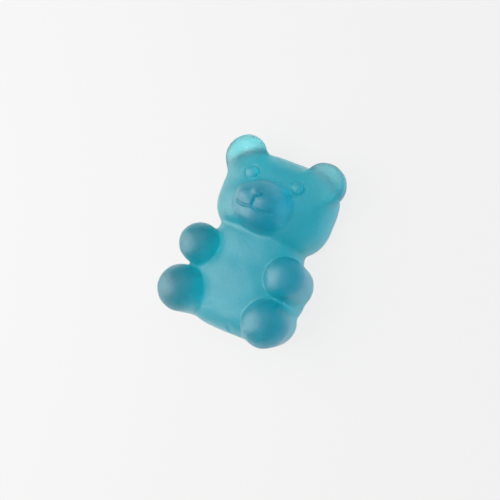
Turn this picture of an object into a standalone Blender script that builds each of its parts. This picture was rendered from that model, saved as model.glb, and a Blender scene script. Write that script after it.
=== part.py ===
"""A small moulded jelly bear lying on its flat back, face up.

The bear is cast as one piece in an open mould, so its back is flat and every
form rises from that plane: +Z is the face side, +Y the head, +X the bear's left.
"""
import math

import bmesh
import bpy
import numpy as np
from mathutils import Matrix, Vector

MM = 0.001

# Overall: the seat is at height 0 along the bear, the ear tips at HEIGHT.
HEIGHT = 20.85
MID = HEIGHT / 2

# Head: a squarish dome over a slightly deeper jaw, with ears as round discs set
# forward of the back plane, each thinning towards its tip.
HEAD_UP = 14.85
HEAD_RADII = (6.62, 4.9, 4.8)
HEAD_SQUARENESS = 2.9
JAW_UP = 13.4
JAW_RADII = (5.3, 2.9, 5.4)
EAR_OUT = 4.7
EAR_UP = 18.47
EAR_FORWARD = 2.2
EAR_RADIUS = 2.42
EAR_HALF_DEPTH = 1.45
EAR_SQUARENESS = 5.0
EAR_TIP_THINNING = 1.0

# Muzzle: one big ball, with two lip pads above the mouth line.
MUZZLE_UP = 13.95
MUZZLE_FORWARD = 5.0
MUZZLE_RADII = (3.15, 2.72, 2.8)
PAD_OUT = 1.05
PAD_UP = 14.45
PAD_FORWARD = 6.45
PAD_RADII = (1.35, 1.0, 1.35)

# Trunk: a wide seat and a narrower chest.
SEAT_UP = 4.5
SEAT_RADII = (6.1, 4.5, 4.8)
CHEST_UP = 7.6
CHEST_RADII = (5.2, 4.5, 4.6)
NECK_UP = 10.2
NECK_RADII = (4.65, 2.4, 4.4)
TRUNK_SQUARENESS = 3.0

# Limbs: stubby, rising straight off the back and ending in a ball.
ARM_ROOT = (4.75, 7.2, 0.0)
ARM_ROOT_RADIUS = 2.5
PAW = (5.23, 7.85, 4.36)
PAW_RADIUS = 2.25
LEG_ROOT = (4.35, 3.05, 0.0)
LEG_ROOT_RADIUS = 2.62
FLANK = (4.45, 5.5, 0.0)
FLANK_RADII = (2.55, 2.5, 2.3)
FOOT = (5.17, 2.68, 4.55)
FOOT_RADIUS = 2.58

# Face details set on the smoothed form.
EYE = (2.72, 16.97, 4.35)
EYE_RADII = (0.82, 0.74, 0.5)
NOSE = (0.0, 14.95, 7.75)
NOSE_RADII = (0.72, 0.52, 0.62)
MOUTH_HALF_WIDTH = 1.9
MOUTH_UP = 13.45
MOUTH_FORWARD = 7.75
MOUTH_END_SETBACK = 0.75
MOUTH_RADIUS = 0.16
LIP_PARTING_TOP = 14.7
LIP_PARTING_FORWARD = 7.9
SEAT_MARK_BOTTOM = (1.2, -0.05, 1.6)
SEAT_MARK_TOP = (1.2, 0.95, 4.05)
SEAT_MARK_RADIUS = 0.22

# Mesh fineness.
BALL_SEGMENTS = 48
BALL_RINGS = 24
DETAIL_SEGMENTS = 20
DETAIL_RINGS = 10
BLEND_GRID = 0.2
BLEND_PASSES = 7
BLEND_STRENGTH = 0.5
TARGET_TRIANGLES = 9000
STACKED_LIMB_BALLS = 10
CUTTER_SIZE = 40.0


def clear_scene():
    for old in list(bpy.data.objects):
        bpy.data.objects.remove(old, do_unlink=True)


def make_collection(name):
    group = bpy.data.collections.new(name)
    bpy.context.scene.collection.children.link(group)
    return group


def to_model(place):
    """A place measured from the seat becomes a place in the model, in metres."""
    across, up, forward = place
    return Vector((across, up - MID, forward)) * MM


def add_ball(mesh, centre, radii, squareness=2.0, segments=BALL_SEGMENTS, rings=BALL_RINGS):
    """Adds a ball; a squareness over 2 swells it towards a rounded block."""
    made = bmesh.ops.create_uvsphere(mesh, u_segments=segments, v_segments=rings, radius=1.0)
    middle = to_model(centre)
    for corner in made["verts"]:
        reach = sum(abs(part) ** squareness for part in corner.co) ** (1.0 / squareness)
        swollen = corner.co / reach
        corner.co = middle + Vector(a * b * MM for a, b in zip(swollen, radii))


def add_disc(mesh, centre, radius, half_depth, squareness, thinning):
    """Adds a round disc with a rolled rim, whose back comes forward towards the tip."""
    made = bmesh.ops.create_uvsphere(mesh, u_segments=BALL_SEGMENTS, v_segments=BALL_RINGS, radius=1.0)
    middle = to_model(centre)
    for corner in made["verts"]:
        flat = math.hypot(corner.co.x, corner.co.y)
        reach = (flat ** squareness + abs(corner.co.z) ** squareness) ** (1.0 / squareness)
        size = Vector((radius, radius, half_depth))
        if corner.co.z < 0.0:
            size.z *= 1.0 - thinning * (1.0 + corner.co.y) / 2
        corner.co = middle + Vector(a / reach * b * MM for a, b in zip(corner.co, size))


def add_limb(mesh, root, root_radius, end, end_radius):
    """Adds a limb as a close run of balls from its root to its rounded end."""
    for step in range(STACKED_LIMB_BALLS + 1):
        along = step / STACKED_LIMB_BALLS
        centre = [a + (b - a) * along for a, b in zip(root, end)]
        radius = root_radius + (end_radius - root_radius) * along
        add_ball(mesh, centre, (radius, radius, radius))


def mirrored(place, side):
    return (place[0] * side, place[1], place[2])


def object_from(mesh, name, group):
    data = bpy.data.meshes.new(name)
    mesh.to_mesh(data)
    mesh.free()
    made = bpy.data.objects.new(name, data)
    group.objects.link(made)
    return made


def make_body(group):
    mesh = bmesh.new()
    add_ball(mesh, (0.0, HEAD_UP, 0.0), HEAD_RADII, HEAD_SQUARENESS)
    add_ball(mesh, (0.0, JAW_UP, 0.0), JAW_RADII, HEAD_SQUARENESS)
    add_ball(mesh, (0.0, MUZZLE_UP, MUZZLE_FORWARD), MUZZLE_RADII)
    add_ball(mesh, (0.0, SEAT_UP, 0.0), SEAT_RADII, TRUNK_SQUARENESS)
    add_ball(mesh, (0.0, CHEST_UP, 0.0), CHEST_RADII, TRUNK_SQUARENESS)
    add_ball(mesh, (0.0, NECK_UP, 0.0), NECK_RADII, TRUNK_SQUARENESS)
    for side in (-1, 1):
        add_disc(mesh, (EAR_OUT * side, EAR_UP, EAR_FORWARD), EAR_RADIUS, EAR_HALF_DEPTH, EAR_SQUARENESS,
                 EAR_TIP_THINNING)
        add_ball(mesh, (PAD_OUT * side, PAD_UP, PAD_FORWARD), PAD_RADII)
        add_ball(mesh, mirrored(FLANK, side), FLANK_RADII)
        add_limb(mesh, mirrored(ARM_ROOT, side), ARM_ROOT_RADIUS, mirrored(PAW, side), PAW_RADIUS)
        add_limb(mesh, mirrored(LEG_ROOT, side), LEG_ROOT_RADIUS, mirrored(FOOT, side), FOOT_RADIUS)
    return object_from(mesh, "jelly_bear", group)


def add_modifier(target, kind, name, **settings):
    step = target.modifiers.new(name, kind)
    for key, value in settings.items():
        setattr(step, key, value)
    return step


def add_cut(target, cutter, operation):
    add_modifier(target, "BOOLEAN", operation.lower() + "_" + cutter.name,
                 operation=operation, object=cutter, solver="EXACT")


def make_back_cutter(group):
    """The open face of the mould: everything behind the back plane goes."""
    mesh = bmesh.new()
    below = Matrix.Translation((0.0, 0.0, -CUTTER_SIZE / 2 * MM))
    bmesh.ops.create_cube(mesh, size=CUTTER_SIZE * MM, matrix=below)
    return object_from(mesh, "mould_face", group)


def make_eye(side, group):
    mesh = bmesh.new()
    add_ball(mesh, mirrored(EYE, side), EYE_RADII, 2.0, DETAIL_SEGMENTS, DETAIL_RINGS)
    return object_from(mesh, "eye_left" if side > 0 else "eye_right", group)


def make_nose(group):
    mesh = bmesh.new()
    add_ball(mesh, NOSE, NOSE_RADII, 2.0, DETAIL_SEGMENTS, DETAIL_RINGS)
    return object_from(mesh, "nose", group)


def make_groove(name, places, radius, group):
    """A groove cutter: a round wire swept along a smooth line of places."""
    line = bpy.data.curves.new(name, "CURVE")
    line.dimensions = "3D"
    line.bevel_depth = radius * MM
    line.bevel_resolution = 2
    line.resolution_u = 6
    line.use_fill_caps = True
    run = line.splines.new("POLY")
    run.points.add(len(places) - 1)
    for point, place in zip(run.points, places):
        point.co = (*to_model(place), 1.0)
    drawn = bpy.data.objects.new(name + "_line", line)
    bpy.context.scene.collection.objects.link(drawn)
    solid = bpy.data.meshes.new_from_object(drawn)
    bpy.data.objects.remove(drawn, do_unlink=True)
    made = bpy.data.objects.new(name, solid)
    group.objects.link(made)
    return made


def mouth_places(count=13):
    places = []
    for share in np.linspace(-1.0, 1.0, count):
        across = MOUTH_HALF_WIDTH * share
        forward = MOUTH_FORWARD - MOUTH_END_SETBACK * share ** 2
        places.append((across, MOUTH_UP, forward))
    return places


def make_material():
    jelly = bpy.data.materials.new("teal jelly")
    jelly.use_nodes = True
    shader = jelly.node_tree.nodes["Principled BSDF"]
    shader.inputs["Base Color"].default_value = (0.065, 0.38, 0.46, 1.0)
    shader.inputs["Roughness"].default_value = 0.4
    shader.inputs["Metallic"].default_value = 0.0
    return jelly


def count_triangles(target):
    graph = bpy.context.evaluated_depsgraph_get()
    shown = target.evaluated_get(graph)
    return sum(len(face.vertices) - 2 for face in shown.data.polygons)


def main():
    clear_scene()
    bear_group = make_collection("jelly_bear")
    cutter_group = make_collection("cutters")
    mouth_centre = (0.0, MOUTH_UP, MOUTH_FORWARD)
    parting_top = (0.0, LIP_PARTING_TOP, LIP_PARTING_FORWARD)
    mould_face = make_back_cutter(cutter_group)
    raised = [make_eye(1, cutter_group), make_eye(-1, cutter_group), make_nose(cutter_group)]
    grooves = [
        make_groove("mouth", mouth_places(), MOUTH_RADIUS, cutter_group),
        make_groove("lip_parting", [mouth_centre, parting_top], MOUTH_RADIUS, cutter_group),
        make_groove("seat_mark", [SEAT_MARK_BOTTOM, SEAT_MARK_TOP], SEAT_MARK_RADIUS, cutter_group),
    ]
    for cutter in cutter_group.objects:
        cutter.hide_render = True
        cutter.display_type = "WIRE"

    bear = make_body(bear_group)
    bear.data.materials.append(make_material())
    for face in bear.data.polygons:
        face.use_smooth = True
    add_modifier(bear, "REMESH", "blend", mode="VOXEL", voxel_size=BLEND_GRID * MM,
                 adaptivity=0.0, use_smooth_shade=True)
    add_modifier(bear, "SMOOTH", "soften", factor=BLEND_STRENGTH, iterations=BLEND_PASSES)
    fine = count_triangles(bear)
    add_modifier(bear, "DECIMATE", "thin_out", decimate_type="COLLAPSE",
                 ratio=TARGET_TRIANGLES / fine)
    add_cut(bear, mould_face, "DIFFERENCE")
    for form in raised:
        add_cut(bear, form, "UNION")
    for groove in grooves:
        add_cut(bear, groove, "DIFFERENCE")


main()
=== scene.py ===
import math

import bmesh
import bpy
import numpy as np
from mathutils import Matrix, Vector


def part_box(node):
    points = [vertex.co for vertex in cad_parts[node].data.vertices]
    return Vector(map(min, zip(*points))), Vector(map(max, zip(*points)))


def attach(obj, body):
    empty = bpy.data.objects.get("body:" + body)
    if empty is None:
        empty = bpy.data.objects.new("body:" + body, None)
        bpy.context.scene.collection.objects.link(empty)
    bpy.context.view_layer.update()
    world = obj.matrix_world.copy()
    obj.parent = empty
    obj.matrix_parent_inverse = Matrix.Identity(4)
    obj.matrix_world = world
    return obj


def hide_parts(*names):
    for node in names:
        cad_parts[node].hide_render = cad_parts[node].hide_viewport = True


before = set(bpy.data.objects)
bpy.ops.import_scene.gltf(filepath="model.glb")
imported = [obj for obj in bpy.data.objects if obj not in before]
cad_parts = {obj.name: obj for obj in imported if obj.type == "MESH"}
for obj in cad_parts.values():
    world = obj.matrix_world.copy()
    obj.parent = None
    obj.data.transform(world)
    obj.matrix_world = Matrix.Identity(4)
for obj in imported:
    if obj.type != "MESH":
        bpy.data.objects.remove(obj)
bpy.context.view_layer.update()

# ---------------------------------------------------------------------------
# Bear: a soft sweet of pectin jelly, poured warm into an open mould and left to
# set, so it is one piece with a flat back. Sizes are in millimetres, measured
# across, up from the seat, and forward from the flat back.
# ---------------------------------------------------------------------------
MM = 0.001
bear_low, bear_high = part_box("jelly_bear")
SEAT_LINE = bear_low[1] / MM

# Balls and rounded blocks: middle, half sizes, and squareness (2 is a true ball).
HEAD = ((0.0, 14.85, 0.0), (6.62, 4.9, 4.8), 2.9)
JAW = ((0.0, 13.4, 0.0), (5.3, 2.9, 5.4), 2.9)
NECK = ((0.0, 10.2, 0.0), (4.65, 2.4, 4.4), 3.0)
CHEST = ((0.0, 7.6, 0.0), (5.2, 4.5, 4.6), 3.0)
SEAT = ((0.0, 4.5, 0.0), (6.1, 4.5, 4.8), 3.0)
MUZZLE = ((0.0, 13.95, 5.0), (3.15, 2.72, 2.8), 2.0)
LIP_PAD = ((1.05, 14.45, 6.45), (1.35, 1.0, 1.35), 2.0)
CHIN = ((0.0, 12.65, 6.35), (1.5, 0.85, 1.0), 2.0)
FLANK = ((4.45, 5.5, 0.0), (2.55, 2.5, 2.3), 2.0)
EYE = ((2.72, 16.97, 4.35), (0.82, 0.74, 0.5), 2.0)
NOSE = ((0.0, 14.95, 7.75), (0.66, 0.52, 0.55), 2.0)

# Ears: discs whose back passes through the thin point and slopes by the thinning,
# per millimetre outwards and per millimetre upwards.
EAR_CENTRE = (4.7, 18.45, 2.65)
EAR_RADIUS = 2.38
EAR_HALF_DEPTH = 1.05
EAR_SQUARENESS = 3.6
EAR_THIN_POINT = (4.7, 19.9, 2.35)
EAR_THINNING = (-0.25, 0.15)

# Limbs: root, radius there, end, radius there.
ARM = ((4.75, 7.2, 0.0), 2.5, (5.23, 7.85, 4.36), 2.25)
LEG = ((4.35, 3.05, 0.0), 2.62, (5.17, 2.68, 4.55), 2.58)

# How softly neighbouring forms run into each other.
TRUNK_BLEND = 1.2
HEAD_BLEND = 1.0
CHIN_FOLD_BLEND = 0.42
LIMB_BLEND = 0.3
EAR_BLEND = 0.8
MUZZLE_BLEND = 0.55
SMALL_BLEND = 0.08
BACK_RIM = 0.3

# Lines pressed into the face, and the upright mark on the seat: its two ends and
# its radius.
MOUTH_UP = 13.45
MOUTH_HALF = 2.05
MOUTH_SAG = 0.17
MOUTH_FORWARD_OF = 5.0
PARTING_TOP = 14.5
GROOVE_RADIUS = 0.075
GROOVE_DEPTH = 0.34
EYE_RIM_DEPTH = 0.13
EYE_RIM_REACH = 1.0
NO_GROOVE = 9.0
GROOVE_BLEND = 0.06
SEAT_MARK = ((1.2, -0.02, 1.8), (1.2, 1.0, 4.05), 0.3)

# The skin: its unevenness, its mesh fineness, and the places that need twice that,
# each a middle and a radius.
WOBBLE = 0.035
SKIN_GRID = 0.16
FINE_SPOTS = (
    (0.0, 14.2, 7.4, 2.6),
    (2.72, 16.97, 4.6, 1.3),
    (-2.72, 16.97, 4.6, 1.3),
    (1.2, 0.6, 3.6, 1.3),
)
SETTLE_STEP_LIMIT = 0.3
SETTLE_LEAST_SLOPE = 0.05
COARSE_ROUNDS = 3
FINE_ROUNDS = 2


def ball_distance(at, centre, radii, squareness):
    """Distance to a ball; a squareness over 2 swells it towards a rounded block."""
    size = np.array(radii)
    share = np.maximum(np.abs(at - np.array(centre)) / size, 1e-5)
    reach = (share ** squareness).sum(axis=1) ** (1.0 / squareness)
    slope = share ** (squareness - 1) / size * (reach ** (1 - squareness))[:, None]
    return (reach - 1) / np.linalg.norm(slope, axis=1)


def limb_distance(at, root, root_radius, end, end_radius):
    """Distance to a round limb whose radius changes evenly from root to end."""
    root, end = np.array(root), np.array(end)
    line = end - root
    along = np.clip((at - root) @ line / (line @ line), 0.0, 1.0)
    nearest = root + along[:, None] * line
    return np.linalg.norm(at - nearest, axis=1) - (root_radius + (end_radius - root_radius) * along)


def ear_distance(at, side):
    """Distance to a round disc with a rolled rim, whose sloping back thins it to its tip."""
    off = at - np.array((EAR_CENTRE[0] * side, EAR_CENTRE[1], EAR_CENTRE[2]))
    flat = np.stack([np.hypot(off[:, 0], off[:, 1]), off[:, 2]], axis=1)
    disc = ball_distance(flat, (0.0, 0.0), (EAR_RADIUS, EAR_HALF_DEPTH), EAR_SQUARENESS)
    out, up, back = EAR_THIN_POINT
    rise = back + (at[:, 0] * side - out) * EAR_THINNING[0] + (at[:, 1] - up) * EAR_THINNING[1]
    behind = (rise - at[:, 2]) / math.hypot(1.0, *EAR_THINNING)
    return -melt(-disc, -behind, BACK_RIM)


def melt(one, other, width):
    """Joins two forms with a soft fillet of about this width."""
    overlap = np.maximum(width - np.abs(one - other), 0.0) / width
    return np.minimum(one, other) - overlap * overlap * width / 4


def mirrored(centre, side):
    return (centre[0] * side,) + tuple(centre[1:])


def wobble(at):
    """The slight unevenness of jelly that has set and shrunk in its mould."""
    x, y, z = at.T
    # Waves from about 3 to 8 mm long, out of step with one another.
    slow = np.sin(0.9 * x + 1.3 * y + 0.4) + np.sin(1.1 * y - 0.8 * z + 2.1) * np.cos(0.7 * x - 0.6)
    quick = np.sin(2.3 * x - 1.9 * z + 1.0) * np.sin(2.1 * y + 1.7 * z)
    return WOBBLE * (0.6 * slow + 0.4 * quick)


def face_grooves(at):
    """Distance to the mouth line and the short parting between nose and mouth."""
    x, y = at[:, 0], at[:, 1]
    droop = MOUTH_UP - MOUTH_SAG * np.abs(np.sin(x / MOUTH_HALF * math.pi))
    mouth = np.hypot(np.maximum(np.abs(x) - MOUTH_HALF, 0.0), y - droop)
    middle = (MOUTH_UP + PARTING_TOP) / 2
    reach = (PARTING_TOP - MOUTH_UP) / 2
    parting = np.hypot(x, np.maximum(np.abs(y - middle) - reach, 0.0))
    return np.where(at[:, 2] > MOUTH_FORWARD_OF, np.minimum(mouth, parting), NO_GROOVE)


def eye_rims(at):
    """Distance to the fine ring that sets each eye off from the head."""
    (out, up, forward), (wide, high, _), _ = EYE
    ring = np.hypot((np.abs(at[:, 0]) - out) / wide, (at[:, 1] - up) / high)
    off_ring = np.abs(ring - 1.0) * (wide + high) / 2
    return np.where(at[:, 2] > forward - EYE_RIM_REACH, off_ring, NO_GROOVE)


def mirrored_limb(limb, side):
    root, root_radius, end, end_radius = limb
    return mirrored(root, side), root_radius, mirrored(end, side), end_radius


def press_in(form, line, depth):
    """Presses a soft-sided groove into a form along a line."""
    return form + depth * np.exp(-(line / GROOVE_RADIUS) ** 2 / 2)


def bear_distance(at):
    """Distance from each place, in millimetres, to the surface of the whole bear."""
    trunk = melt(ball_distance(at, *CHEST), ball_distance(at, *SEAT), TRUNK_BLEND)
    trunk = melt(trunk, ball_distance(at, *NECK), TRUNK_BLEND)
    head = melt(ball_distance(at, *HEAD), ball_distance(at, *JAW), HEAD_BLEND)
    form = melt(trunk, head, CHIN_FOLD_BLEND)
    for side in (-1, 1):
        form = melt(form, ball_distance(at, mirrored(FLANK[0], side), *FLANK[1:]), LIMB_BLEND)
        form = melt(form, ear_distance(at, side), EAR_BLEND)
        form = melt(form, limb_distance(at, *mirrored_limb(ARM, side)), LIMB_BLEND)
        form = melt(form, limb_distance(at, *mirrored_limb(LEG, side)), LIMB_BLEND)
    muzzle = ball_distance(at, *MUZZLE)
    for side in (-1, 1):
        pad = ball_distance(at, mirrored(LIP_PAD[0], side), *LIP_PAD[1:])
        muzzle = melt(muzzle, pad, MUZZLE_BLEND)
    muzzle = melt(muzzle, ball_distance(at, *CHIN), MUZZLE_BLEND)
    form = melt(form, muzzle, MUZZLE_BLEND)
    form = form + wobble(at)
    for side in (-1, 1):
        form = melt(form, ball_distance(at, mirrored(EYE[0], side), *EYE[1:]), SMALL_BLEND)
    form = press_in(form, face_grooves(at), GROOVE_DEPTH)
    form = press_in(form, eye_rims(at), EYE_RIM_DEPTH)
    form = melt(form, ball_distance(at, *NOSE), SMALL_BLEND)
    mark_low, mark_high, mark_radius = SEAT_MARK
    mark = limb_distance(at, mark_low, mark_radius, mark_high, mark_radius)
    form = -melt(-form, mark, GROOVE_BLEND)
    return -melt(-form, at[:, 2], BACK_RIM)


def surface_slope(at, step=0.01):
    slope = np.empty_like(at)
    for axis in range(3):
        nudge = np.zeros(3)
        nudge[axis] = step
        slope[:, axis] = (bear_distance(at + nudge) - bear_distance(at - nudge)) / (2 * step)
    return slope


def settle(at, passes):
    """Moves each place straight onto the bear's surface."""
    for _ in range(passes):
        slope = surface_slope(at)
        gap = bear_distance(at)
        strength = np.maximum((slope ** 2).sum(axis=1), SETTLE_LEAST_SLOPE)
        move = slope * (gap / strength)[:, None]
        length = np.linalg.norm(move, axis=1, keepdims=True)
        at = at - move * np.minimum(1.0, SETTLE_STEP_LIMIT / np.maximum(length, 1e-9))
    return at


def even_out(at, pairs, strength=0.5):
    """Draws each place towards the middle of its neighbours."""
    total = np.zeros_like(at)
    count = np.zeros(len(at))
    for near, far in ((0, 1), (1, 0)):
        np.add.at(total, pairs[:, near], at[pairs[:, far]])
        np.add.at(count, pairs[:, near], 1.0)
    return at + strength * (total / count[:, None] - at)


def read_places(mesh):
    flat = np.empty(len(mesh.vertices) * 3)
    mesh.vertices.foreach_get("co", flat)
    at = flat.reshape(-1, 3) / MM
    at[:, 1] -= SEAT_LINE
    return at


def write_places(mesh, at):
    placed = at.copy()
    placed[:, 1] += SEAT_LINE
    mesh.vertices.foreach_set("co", (placed * MM).ravel())
    mesh.update()


def edge_pairs(mesh):
    pairs = np.empty(len(mesh.edges) * 2, dtype=np.int64)
    mesh.edges.foreach_get("vertices", pairs)
    return pairs.reshape(-1, 2)


def refine_spots(mesh, spots):
    """Splits the faces round the face's details and the seat mark."""
    work = bmesh.new()
    work.from_mesh(mesh)
    edges = []
    for edge in work.edges:
        middle = (edge.verts[0].co + edge.verts[1].co) / 2 / MM
        middle.y -= SEAT_LINE
        for x, y, z, radius in spots:
            if (middle - Vector((x, y, z))).length < radius:
                edges.append(edge)
                break
    bmesh.ops.subdivide_edges(work, edges=edges, cuts=1, use_grid_fill=True)
    bmesh.ops.triangulate(work, faces=[face for face in work.faces if len(face.verts) > 4])
    work.to_mesh(mesh)
    work.free()


bear_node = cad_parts["jelly_bear"]
bear = bpy.data.objects.new("bear_jelly", bear_node.data.copy())
bpy.context.scene.collection.objects.link(bear)
skin = bear.modifiers.new("skin", "REMESH")
skin.mode = "VOXEL"
skin.voxel_size = SKIN_GRID * MM
graph = bpy.context.evaluated_depsgraph_get()
bear_mesh = bpy.data.meshes.new_from_object(bear.evaluated_get(graph))
bear.modifiers.clear()
bear.data = bear_mesh

# Each place moves onto the bear's true form, is evened out, and is moved back.
places = settle(read_places(bear_mesh), 3)
pairs = edge_pairs(bear_mesh)
for _ in range(COARSE_ROUNDS):
    places = settle(even_out(places, pairs), 2)
write_places(bear_mesh, places)
refine_spots(bear_mesh, FINE_SPOTS)
places = settle(read_places(bear_mesh), 2)
pairs = edge_pairs(bear_mesh)
for _ in range(FINE_ROUNDS):
    places = settle(even_out(places, pairs), 2)
write_places(bear_mesh, places)
for face in bear_mesh.polygons:
    face.use_smooth = True


def linear(hex_colour):
    """Turns an sRGB hex colour into linear red, green, blue and full alpha."""
    parts = [int(hex_colour[i:i + 2], 16) / 255 for i in (1, 3, 5)]
    return tuple(v / 12.92 if v <= 0.04045 else ((v + 0.055) / 1.055) ** 2.4 for v in parts) + (1.0,)


def add_node(tree, kind, links=None, values=None, **settings):
    """Adds one shader node with its settings and socket values, and links sockets into it."""
    node = tree.nodes.new(kind)
    for key, value in settings.items():
        setattr(node, key, value)
    for socket, value in (values or {}).items():
        node.inputs[socket].default_value = value
    for socket, source in (links or {}).items():
        tree.links.new(source, node.inputs[socket])
    return node


# Pectin jelly, moulded and lightly oiled: the eye sees a clear teal body, deeper
# in colour where it is thick, under a satin and faintly pebbled skin that
# spreads every reflection.
GEL_IOR = 1.45
JELLY_TINT = linear("#00F1F6")
JELLY_DENSITY = 850.0
# A few of the gel's parts are cloudy, which lifts the shade inside it a little.
CLOUD_SHARE = 0.04
CLOUD_COLOUR = linear("#30BCCE")
CLOUD_RADIUS = (0.2, 0.8, 1.0)
CLOUD_REACH = 1.0
# The mould leaves a grain of about 0.05 mm; it is drawn three times as coarse, so
# that it shows.
SKIN_PEBBLE = 0.15
PEBBLE_HEIGHT = 0.08
# Patches where the skin took the oil more or less well.
SATIN_PATCH = 2.5
SATIN_ROUGHNESS = (0.35, 0.43)
NOISE_SPAN = (0.3, 0.7)
OIL_SHARE = 0.7
OIL_ROUGHNESS = 0.38
jelly = bpy.data.materials.new("moulded pectin jelly, teal")
jelly.use_nodes = True
tree = jelly.node_tree
tree.nodes.clear()
place = add_node(tree, "ShaderNodeTexCoord")
pebble = add_node(tree, "ShaderNodeTexNoise", {"Vector": place.outputs["Object"]},
                  {"Scale": 1 / (SKIN_PEBBLE * MM), "Detail": 3.0, "Roughness": 0.6})
patch = add_node(tree, "ShaderNodeTexNoise", {"Vector": place.outputs["Object"]},
                 {"Scale": 1 / (SATIN_PATCH * MM), "Detail": 2.0, "Roughness": 0.5})
satin = add_node(tree, "ShaderNodeMapRange", {"Value": patch.outputs["Fac"]},
                 {"From Min": NOISE_SPAN[0], "From Max": NOISE_SPAN[1],
                  "To Min": SATIN_ROUGHNESS[0], "To Max": SATIN_ROUGHNESS[1]})
bumps = add_node(tree, "ShaderNodeBump", {"Height": pebble.outputs["Fac"]},
                 {"Strength": 1.0, "Distance": PEBBLE_HEIGHT * MM})
skin_look = {"Roughness": satin.outputs["Result"], "Normal": bumps.outputs["Normal"]}
oil = {"Coat Weight": OIL_SHARE, "Coat Roughness": OIL_ROUGHNESS}
clear_gel = add_node(tree, "ShaderNodeBsdfPrincipled", skin_look,
                     {"Base Color": linear("#FFFFFF"), "Transmission Weight": 1.0, "IOR": GEL_IOR, **oil})
cloudy_gel = add_node(tree, "ShaderNodeBsdfPrincipled", skin_look,
                      {"Base Color": CLOUD_COLOUR, "Subsurface Weight": 1.0,
                       "Subsurface Radius": CLOUD_RADIUS, "Subsurface Scale": CLOUD_REACH * MM,
                       "IOR": GEL_IOR, **oil})
gel = add_node(tree, "ShaderNodeMixShader",
               {1: clear_gel.outputs["BSDF"], 2: cloudy_gel.outputs["BSDF"]}, {"Fac": CLOUD_SHARE})
depth = add_node(tree, "ShaderNodeVolumeAbsorption",
                 values={"Color": JELLY_TINT, "Density": JELLY_DENSITY})
add_node(tree, "ShaderNodeOutputMaterial",
         {"Surface": gel.outputs["Shader"], "Volume": depth.outputs["Volume"]})
bear_mesh.materials.clear()
bear_mesh.materials.append(jelly)
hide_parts("jelly_bear")
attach(bear, "root")

# ---------------------------------------------------------------------------
# Table: a sheet of pale matt card under the sweet, wide enough to fill the view.
# It shows as even pale grey, and keeps part of the shadow.
# ---------------------------------------------------------------------------
TABLE_SIZE = 1.2
TABLE_SQUARES = 8
TABLE_GAP = 0.05
sheet = bmesh.new()
bmesh.ops.create_grid(sheet, x_segments=TABLE_SQUARES, y_segments=TABLE_SQUARES, size=TABLE_SIZE / 2)
table_mesh = bpy.data.meshes.new("table_card")
sheet.to_mesh(table_mesh)
sheet.free()
table = bpy.data.objects.new("table_card", table_mesh)
bpy.context.scene.collection.objects.link(table)
table.location.z = -TABLE_GAP * MM

# Paper card, uncoated: it scatters light evenly. The even share is how much of it
# shows as one flat pale grey instead, to the eye and through the jelly.
PALE = linear("#F4F4F4")
CARD_COLOUR = linear("#E6E6E6")
EVEN_SHARE_SEEN = 0.9
EVEN_SHARE_THROUGH = 0.5
card = bpy.data.materials.new("matt paper card, pale")
card.use_nodes = True
tree = card.node_tree
tree.nodes.clear()
paper = add_node(tree, "ShaderNodeBsdfDiffuse", values={"Color": CARD_COLOUR})
even = add_node(tree, "ShaderNodeEmission", values={"Color": PALE})
ray = add_node(tree, "ShaderNodeLightPath")
inside = add_node(tree, "ShaderNodeMath",
                  {0: ray.outputs["Is Glossy Ray"], 1: ray.outputs["Is Transmission Ray"]},
                  operation="MAXIMUM")
through = add_node(tree, "ShaderNodeMath", {0: inside.outputs["Value"]},
                   {1: EVEN_SHARE_THROUGH}, operation="MULTIPLY")
share = add_node(tree, "ShaderNodeMath",
                 {0: ray.outputs["Is Camera Ray"], 2: through.outputs["Value"]},
                 {1: EVEN_SHARE_SEEN}, operation="MULTIPLY_ADD")
mixed = add_node(tree, "ShaderNodeMixShader",
                 {"Fac": share.outputs["Value"], 1: paper.outputs["BSDF"], 2: even.outputs["Emission"]})
add_node(tree, "ShaderNodeOutputMaterial", {"Surface": mixed.outputs["Shader"]})
table_mesh.materials.append(card)

# ---------------------------------------------------------------------------
# Studio: a white tent all round, dim at table height and brighter overhead, with
# a large soft box half way up on the bear's right and a weak one above its head.
# ---------------------------------------------------------------------------
TENT_LOW = 0.06
TENT_HIGH = 0.48
TENT_SHOULDER = 0.8
world = bpy.data.worlds.new("white tent")
world.use_nodes = True
tree = world.node_tree
tree.nodes.clear()
ray = add_node(tree, "ShaderNodeLightPath")
aim = add_node(tree, "ShaderNodeTexCoord")
parts = add_node(tree, "ShaderNodeSeparateXYZ", {"Vector": aim.outputs["Generated"]})
height = add_node(tree, "ShaderNodeMapRange", {"Value": parts.outputs["Z"]},
                  {"From Min": 0.0, "From Max": TENT_SHOULDER, "To Min": TENT_LOW, "To Max": TENT_HIGH})
tent = add_node(tree, "ShaderNodeBackground", {"Strength": height.outputs["Result"]},
                {"Color": linear("#FFFFFF")})
beyond = add_node(tree, "ShaderNodeBackground", values={"Color": PALE, "Strength": 1.0})
mixed = add_node(tree, "ShaderNodeMixShader",
                 {"Fac": ray.outputs["Is Camera Ray"],
                  1: tent.outputs["Background"], 2: beyond.outputs["Background"]})
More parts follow.
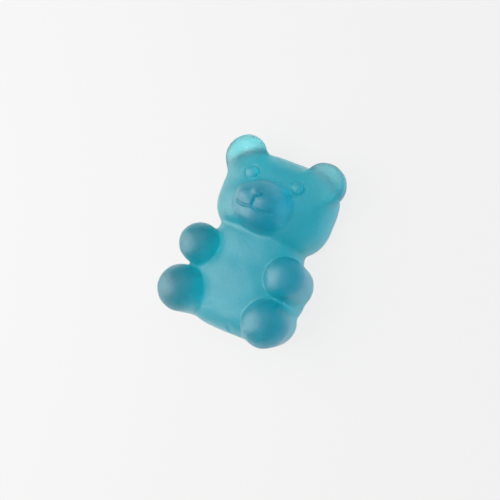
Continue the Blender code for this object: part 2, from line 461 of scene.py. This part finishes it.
add_node(tree, "ShaderNodeOutputWorld", {"Surface": mixed.outputs["Shader"]})
bpy.context.scene.world = world


def soft_box(name, towards, distance, size, energy):
    """A square soft box that faces the bear from a given direction."""
    lamp = bpy.data.lights.new(name, "AREA")
    lamp.size = size
    lamp.energy = energy
    holder = bpy.data.objects.new(name, lamp)
    bpy.context.scene.collection.objects.link(holder)
    direction = Vector(towards).normalized()
    holder.location = direction * distance
    holder.rotation_euler = (-direction).to_track_quat("-Z", "Y").to_euler()


soft_box("soft_box_side", towards=(-0.72, -0.30, 0.60), distance=0.09, size=0.12, energy=0.14)
soft_box("soft_box_top", towards=(0.1, 0.5, 0.85), distance=0.16, size=0.12, energy=0.02)

# ---------------------------------------------------------------------------
# Camera: a long lens, round to the bear's own left and rolled, so that the
# bear leans over to the right in the view.
# ---------------------------------------------------------------------------
VIEW_ROUND = math.radians(22.0)
VIEW_ROLL = math.radians(22.4)
VIEW_DISTANCE = 0.130
LENS = 86.0
SENSOR = 36.0
CLIP_NEAR = 0.005
CLIP_FAR = 10.0
FRAME_WIDTH = VIEW_DISTANCE * SENSOR / LENS
AIM_ACROSS = 0.030
AIM_UP = 0.012
back = Vector((math.sin(VIEW_ROUND), 0.0, math.cos(VIEW_ROUND)))
level = Vector((math.cos(VIEW_ROUND), 0.0, -math.sin(VIEW_ROUND)))
upright = back.cross(level)
across = level * math.cos(VIEW_ROLL) + upright * math.sin(VIEW_ROLL)
upward = upright * math.cos(VIEW_ROLL) - level * math.sin(VIEW_ROLL)
camera = bpy.data.objects.new("camera", bpy.data.cameras.new("camera"))
bpy.context.scene.collection.objects.link(camera)
camera.data.lens = LENS
camera.data.sensor_width = SENSOR
camera.data.clip_start = CLIP_NEAR
camera.data.clip_end = CLIP_FAR
spot = back * VIEW_DISTANCE - across * AIM_ACROSS * FRAME_WIDTH - upward * AIM_UP * FRAME_WIDTH
camera.matrix_world = Matrix.Translation(spot) @ Matrix((across, upward, back)).transposed().to_4x4()
bpy.context.scene.camera = camera
bpy.context.scene.view_settings.view_transform = "Standard"
